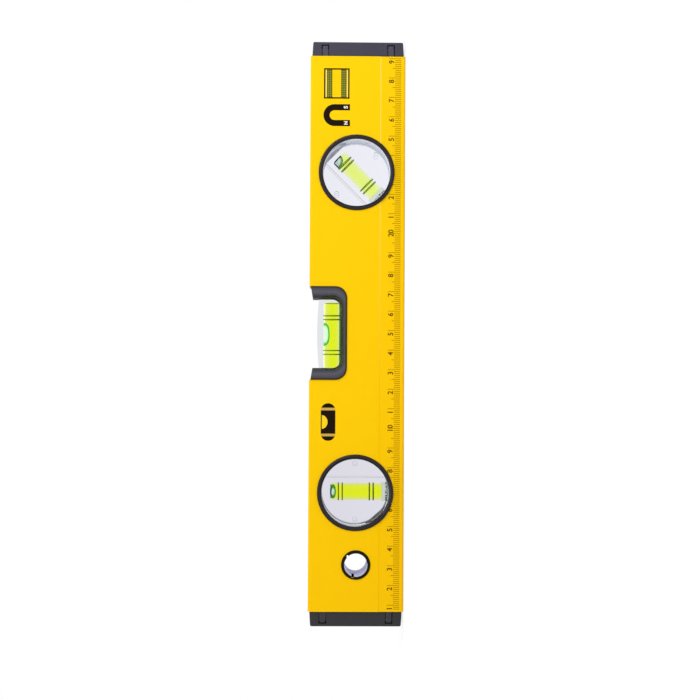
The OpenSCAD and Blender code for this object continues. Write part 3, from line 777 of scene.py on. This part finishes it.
def lettered(name, figures, weight, material, layer=0, face_y=-HALF_T):
    """Figures printed on the face, each given as its text, middle X, foot Z and height."""
    points, faces, start = [], [], 0
    for body, x, z, height in figures:
        text = bpy.data.curves.new("figure", "FONT")
        text.body = body
        text.align_x = "CENTER"
        text.size = height * MM / 0.73
        text.offset = weight * MM
        text.extrude = INK_T * (layer + 1) * MM
        text.resolution_u = 3
        shape = bpy.data.objects.new("figure", text)
        mesh = bpy.data.meshes.new_from_object(shape)
        bpy.data.objects.remove(shape)
        stand = Matrix.Rotation(math.radians(90), 4, "X")
        mesh.transform(Matrix.Translation(Vector((x, face_y, z)) * MM) @ stand)
        spots = np.empty(len(mesh.vertices) * 3)
        mesh.vertices.foreach_get("co", spots)
        mesh.calc_loop_triangles()
        corners = np.empty(len(mesh.loop_triangles) * 3, int)
        mesh.loop_triangles.foreach_get("vertices", corners)
        points.append(spots.reshape(-1, 3) / MM)
        faces.append(corners.reshape(-1, 3) + start)
        start += len(mesh.vertices)
    return solid(name, np.concatenate(points), np.concatenate(faces), material)


def ruler_figures(material):
    """The centimetre figures. Each stands on the low side of its tick, 10 and 20 astride it."""
    figures = []
    for mark in range(1, 30):
        tick = RULER_ZERO_X + 10 * mark
        whole = mark % 10 == 0
        middle = tick if whole else tick - FIGURE_SHIFT
        if housing_edge(np.array([middle]))[0] > FIGURE_Z + FIGURE_H / 3:
            figures.append((str(mark) if whole else str(mark % 10), middle, FIGURE_Z, FIGURE_H))
    return lettered("ruler_figures", figures, 0.08, material, 0, STRIP_STEP - HALF_T)


def horseshoe(x, foot_z, top_z, half_w, stroke, stations=33):
    """A horseshoe magnet: two legs and a half-round bend over them, as one strip."""
    turn = np.linspace(0, math.pi, stations)
    bend_z = top_z - half_w
    ring = np.stack([np.cos(turn), np.sin(turn)], -1)
    rim = [x, bend_z] + ring * half_w
    core = [x, bend_z] + ring * (half_w - stroke)
    feet = np.array([[x + half_w, foot_z], [x + half_w - stroke, foot_z]])
    others = np.array([[x - half_w, foot_z], [x - half_w + stroke, foot_z]])
    return np.concatenate([feet[None], np.stack([rim, core], 1), others[None]])[None]


def box_picture(dark, olive, pale):
    """A hatched box: a section through the milled base."""
    x0, x1, z0, z1 = 120.2, 135.9, 28.8, 41.9
    line = 0.75
    outline = np.concatenate([
        bars(x0, x1, [z0, z1 - line], [z0 + line, z1]),
        bars([x0, x1 - line], [x0 + line, x1], z0, z1),
    ])
    printed("box_picture_outline", outline, dark, 1)
    low = np.array([30.3, 37.6])
    high = low + 2.85
    printed("box_picture_bands", bars(x0 + line, x1 - line, low, high), olive)
    margins = bars(x0 + line, x1 - line, [z0 + line, z1 - 1.4], [z0 + 1.4, z1 - line])
    printed("box_picture_margins", margins, pale)
    pitch = 0.95
    dots = np.arange(x0 + line + pitch / 2, x1 - line, pitch)[:, None]
    rows = np.concatenate([low + 0.1, low + 1.1, low + 2.1])
    printed("box_picture_hatching", bars(dots - 0.26, dots + 0.26, rows, rows + 0.6), dark, 1)


def magnet_picture(dark, white):
    printed("magnet_picture", horseshoe(111.7, 28.5, 42.1, 5.65, 3.15), dark)
    poles = [("N", 107.7, 29.75, 1.8), ("S", 115.8, 29.7, 2.05)]
    lettered("magnet_picture_poles", poles, 0.12, white, 1)


def vial_picture(dark, gold, bright):
    """A vial seen from the front: a round-ended body, two gold lines and a bubble."""
    middle_x, middle_z, half_l, half_h = -45.7, 38.9, 9.6, 3.72
    line_in, line_out = 5.95, 7.3

    def slice_of(start, end):
        x = np.linspace(start, end, 17)
        past = np.clip(abs(x) - (half_l - half_h), 0, half_h)
        half = np.sqrt(half_h ** 2 - past ** 2)
        return strip(middle_x + x, middle_z - half, middle_z + half)

    body = np.concatenate([
        slice_of(-half_l, -line_out), slice_of(-line_in, line_in), slice_of(line_out, half_l),
    ])
    printed("vial_picture_body", body, dark)
    lines = np.concatenate([slice_of(-line_out, -line_in), slice_of(line_in, line_out)])
    printed("vial_picture_lines", lines, gold)
    turn = np.linspace(-math.pi / 2, math.pi / 2, 17)
    top = middle_z + half_h - 0.5
    bubble = strip(middle_x + 3.5 * np.sin(turn), top - 2.95 * np.cos(turn), top)
    printed("vial_picture_bubble", bubble, bright, 1)


def print_face():
    """The printing on the front face: the ruler and three plain pictures without words."""
    dark = ink("black_ink", rgb(22, 12, 6), rgb(32, 20, 12))
    white = ink("white_ink", rgb(240, 238, 230), rgb(252, 250, 244))
    gold = ink("gold_ink", rgb(205, 165, 60), rgb(214, 176, 84))
    bright = ink("yellow_ink", rgb(254, 212, 20), rgb(255, 218, 40))
    pale = ink("pale_ink", rgb(255, 228, 100), rgb(255, 232, 120))
    olive = ink("olive_ink", rgb(132, 138, 44), rgb(150, 152, 56))
    ruler_ticks(ink("tick_ink", rgb(176, 138, 0), rgb(206, 162, 0)))
    ruler_figures(ink("figure_ink", rgb(84, 54, 0), rgb(110, 76, 0)))
    box_picture(ink("brown_ink", rgb(44, 32, 0), rgb(56, 42, 4)), olive, pale)
    magnet_picture(dark, white)
    vial_picture(dark, gold, bright)


# Studio

def studio_floor():
    """A wide pale floor that shows white and keeps a soft shadow."""
    reach = 6.0
    corners = [(-reach, -reach, 0), (reach, -reach, 0), (reach, reach, 0), (-reach, reach, 0)]
    mesh = bpy.data.meshes.new("studio_floor")
    mesh.from_pydata(corners, [], [(0, 1, 2, 3)])
    floor = bpy.data.objects.new("studio_floor", mesh)
    bpy.context.scene.collection.objects.link(floor)
    f = finish("studio_floor_white")
    lit = f.node("ShaderNodeBsdfDiffuse", {}, {"Color": (0.92, 0.92, 0.92, 1)})[0]
    white = f.node("ShaderNodeEmission", {}, {"Color": (1, 1, 1, 1), "Strength": 1.08})[0]
    mesh.materials.append(f.done(f.mix(f.seen() * 0.76, lit, white)))


def studio_world():
    """White to the eye and in reflections, at a lower level as light on the object."""
    world = bpy.data.worlds.new("studio_world")
    bpy.context.scene.world = world
    w = NodeTree(world, "ShaderNodeOutputWorld")
    level = w.seen() * 0.5 + 0.5
    w.done(w.node("ShaderNodeBackground", {}, {"Color": (1, 1, 1, 1), "Strength": level})[0])


def lamp(name, kind, place, aim, energy, size):
    """A soft lamp at a place, turned towards its aim. size is a sun's spread or a side."""
    light = bpy.data.lights.new(name, kind)
    light.energy = energy
    if kind == "SUN":
        light.angle = math.radians(size)
    else:
        light.size = size
    holder = bpy.data.objects.new(name, light)
    turn = (Vector(place) - Vector(aim)).to_track_quat("Z", "Y")
    holder.matrix_world = Matrix.Translation(place) @ turn.to_matrix().to_4x4()
    bpy.context.scene.collection.objects.link(holder)


def studio_lamps():
    lamp("front_lamp", "AREA", (0.7, -0.98, 0.5), (0, 0, 0.02), 6.9, 0.9)
    lamp("top_lamp", "SUN", (0.1, 0.1, 1.0), (0, 0, 0), 1.0, 60)


def camera():
    """The camera faces the front, rolled so that +X is up in the picture."""
    eye = Vector(CAMERA_AT) * MM
    ahead = (Vector(CAMERA_AIM) * MM - eye).normalized()
    level_up = (Vector((1, 0, 0)) - ahead * ahead.x).normalized()
    level_side = ahead.cross(level_up)
    up = level_up * math.cos(CAMERA_ROLL) + level_side * math.sin(CAMERA_ROLL)
    side = level_side * math.cos(CAMERA_ROLL) - level_up * math.sin(CAMERA_ROLL)
    lens = bpy.data.cameras.new("front_camera")
    lens.lens = CAMERA_LENS
    lens.sensor_width = 36
    lens.clip_start = 0.01
    lens.clip_end = 50
    holder = bpy.data.objects.new("front_camera", lens)
    turn = Matrix((side, up, -ahead)).transposed()
    holder.matrix_world = Matrix.Translation(eye) @ turn.to_4x4()
    bpy.context.scene.collection.objects.link(holder)
    bpy.context.scene.camera = holder


def main():
    bpy.context.scene.view_settings.view_transform = "Standard"
    camera()
    studio_world()
    studio_lamps()
    studio_floor()
    dress_plastics_and_metals()
    dress_plumb_vial()
    dress_angle_vial()
    dress_level_vial()
    print_face()


main()
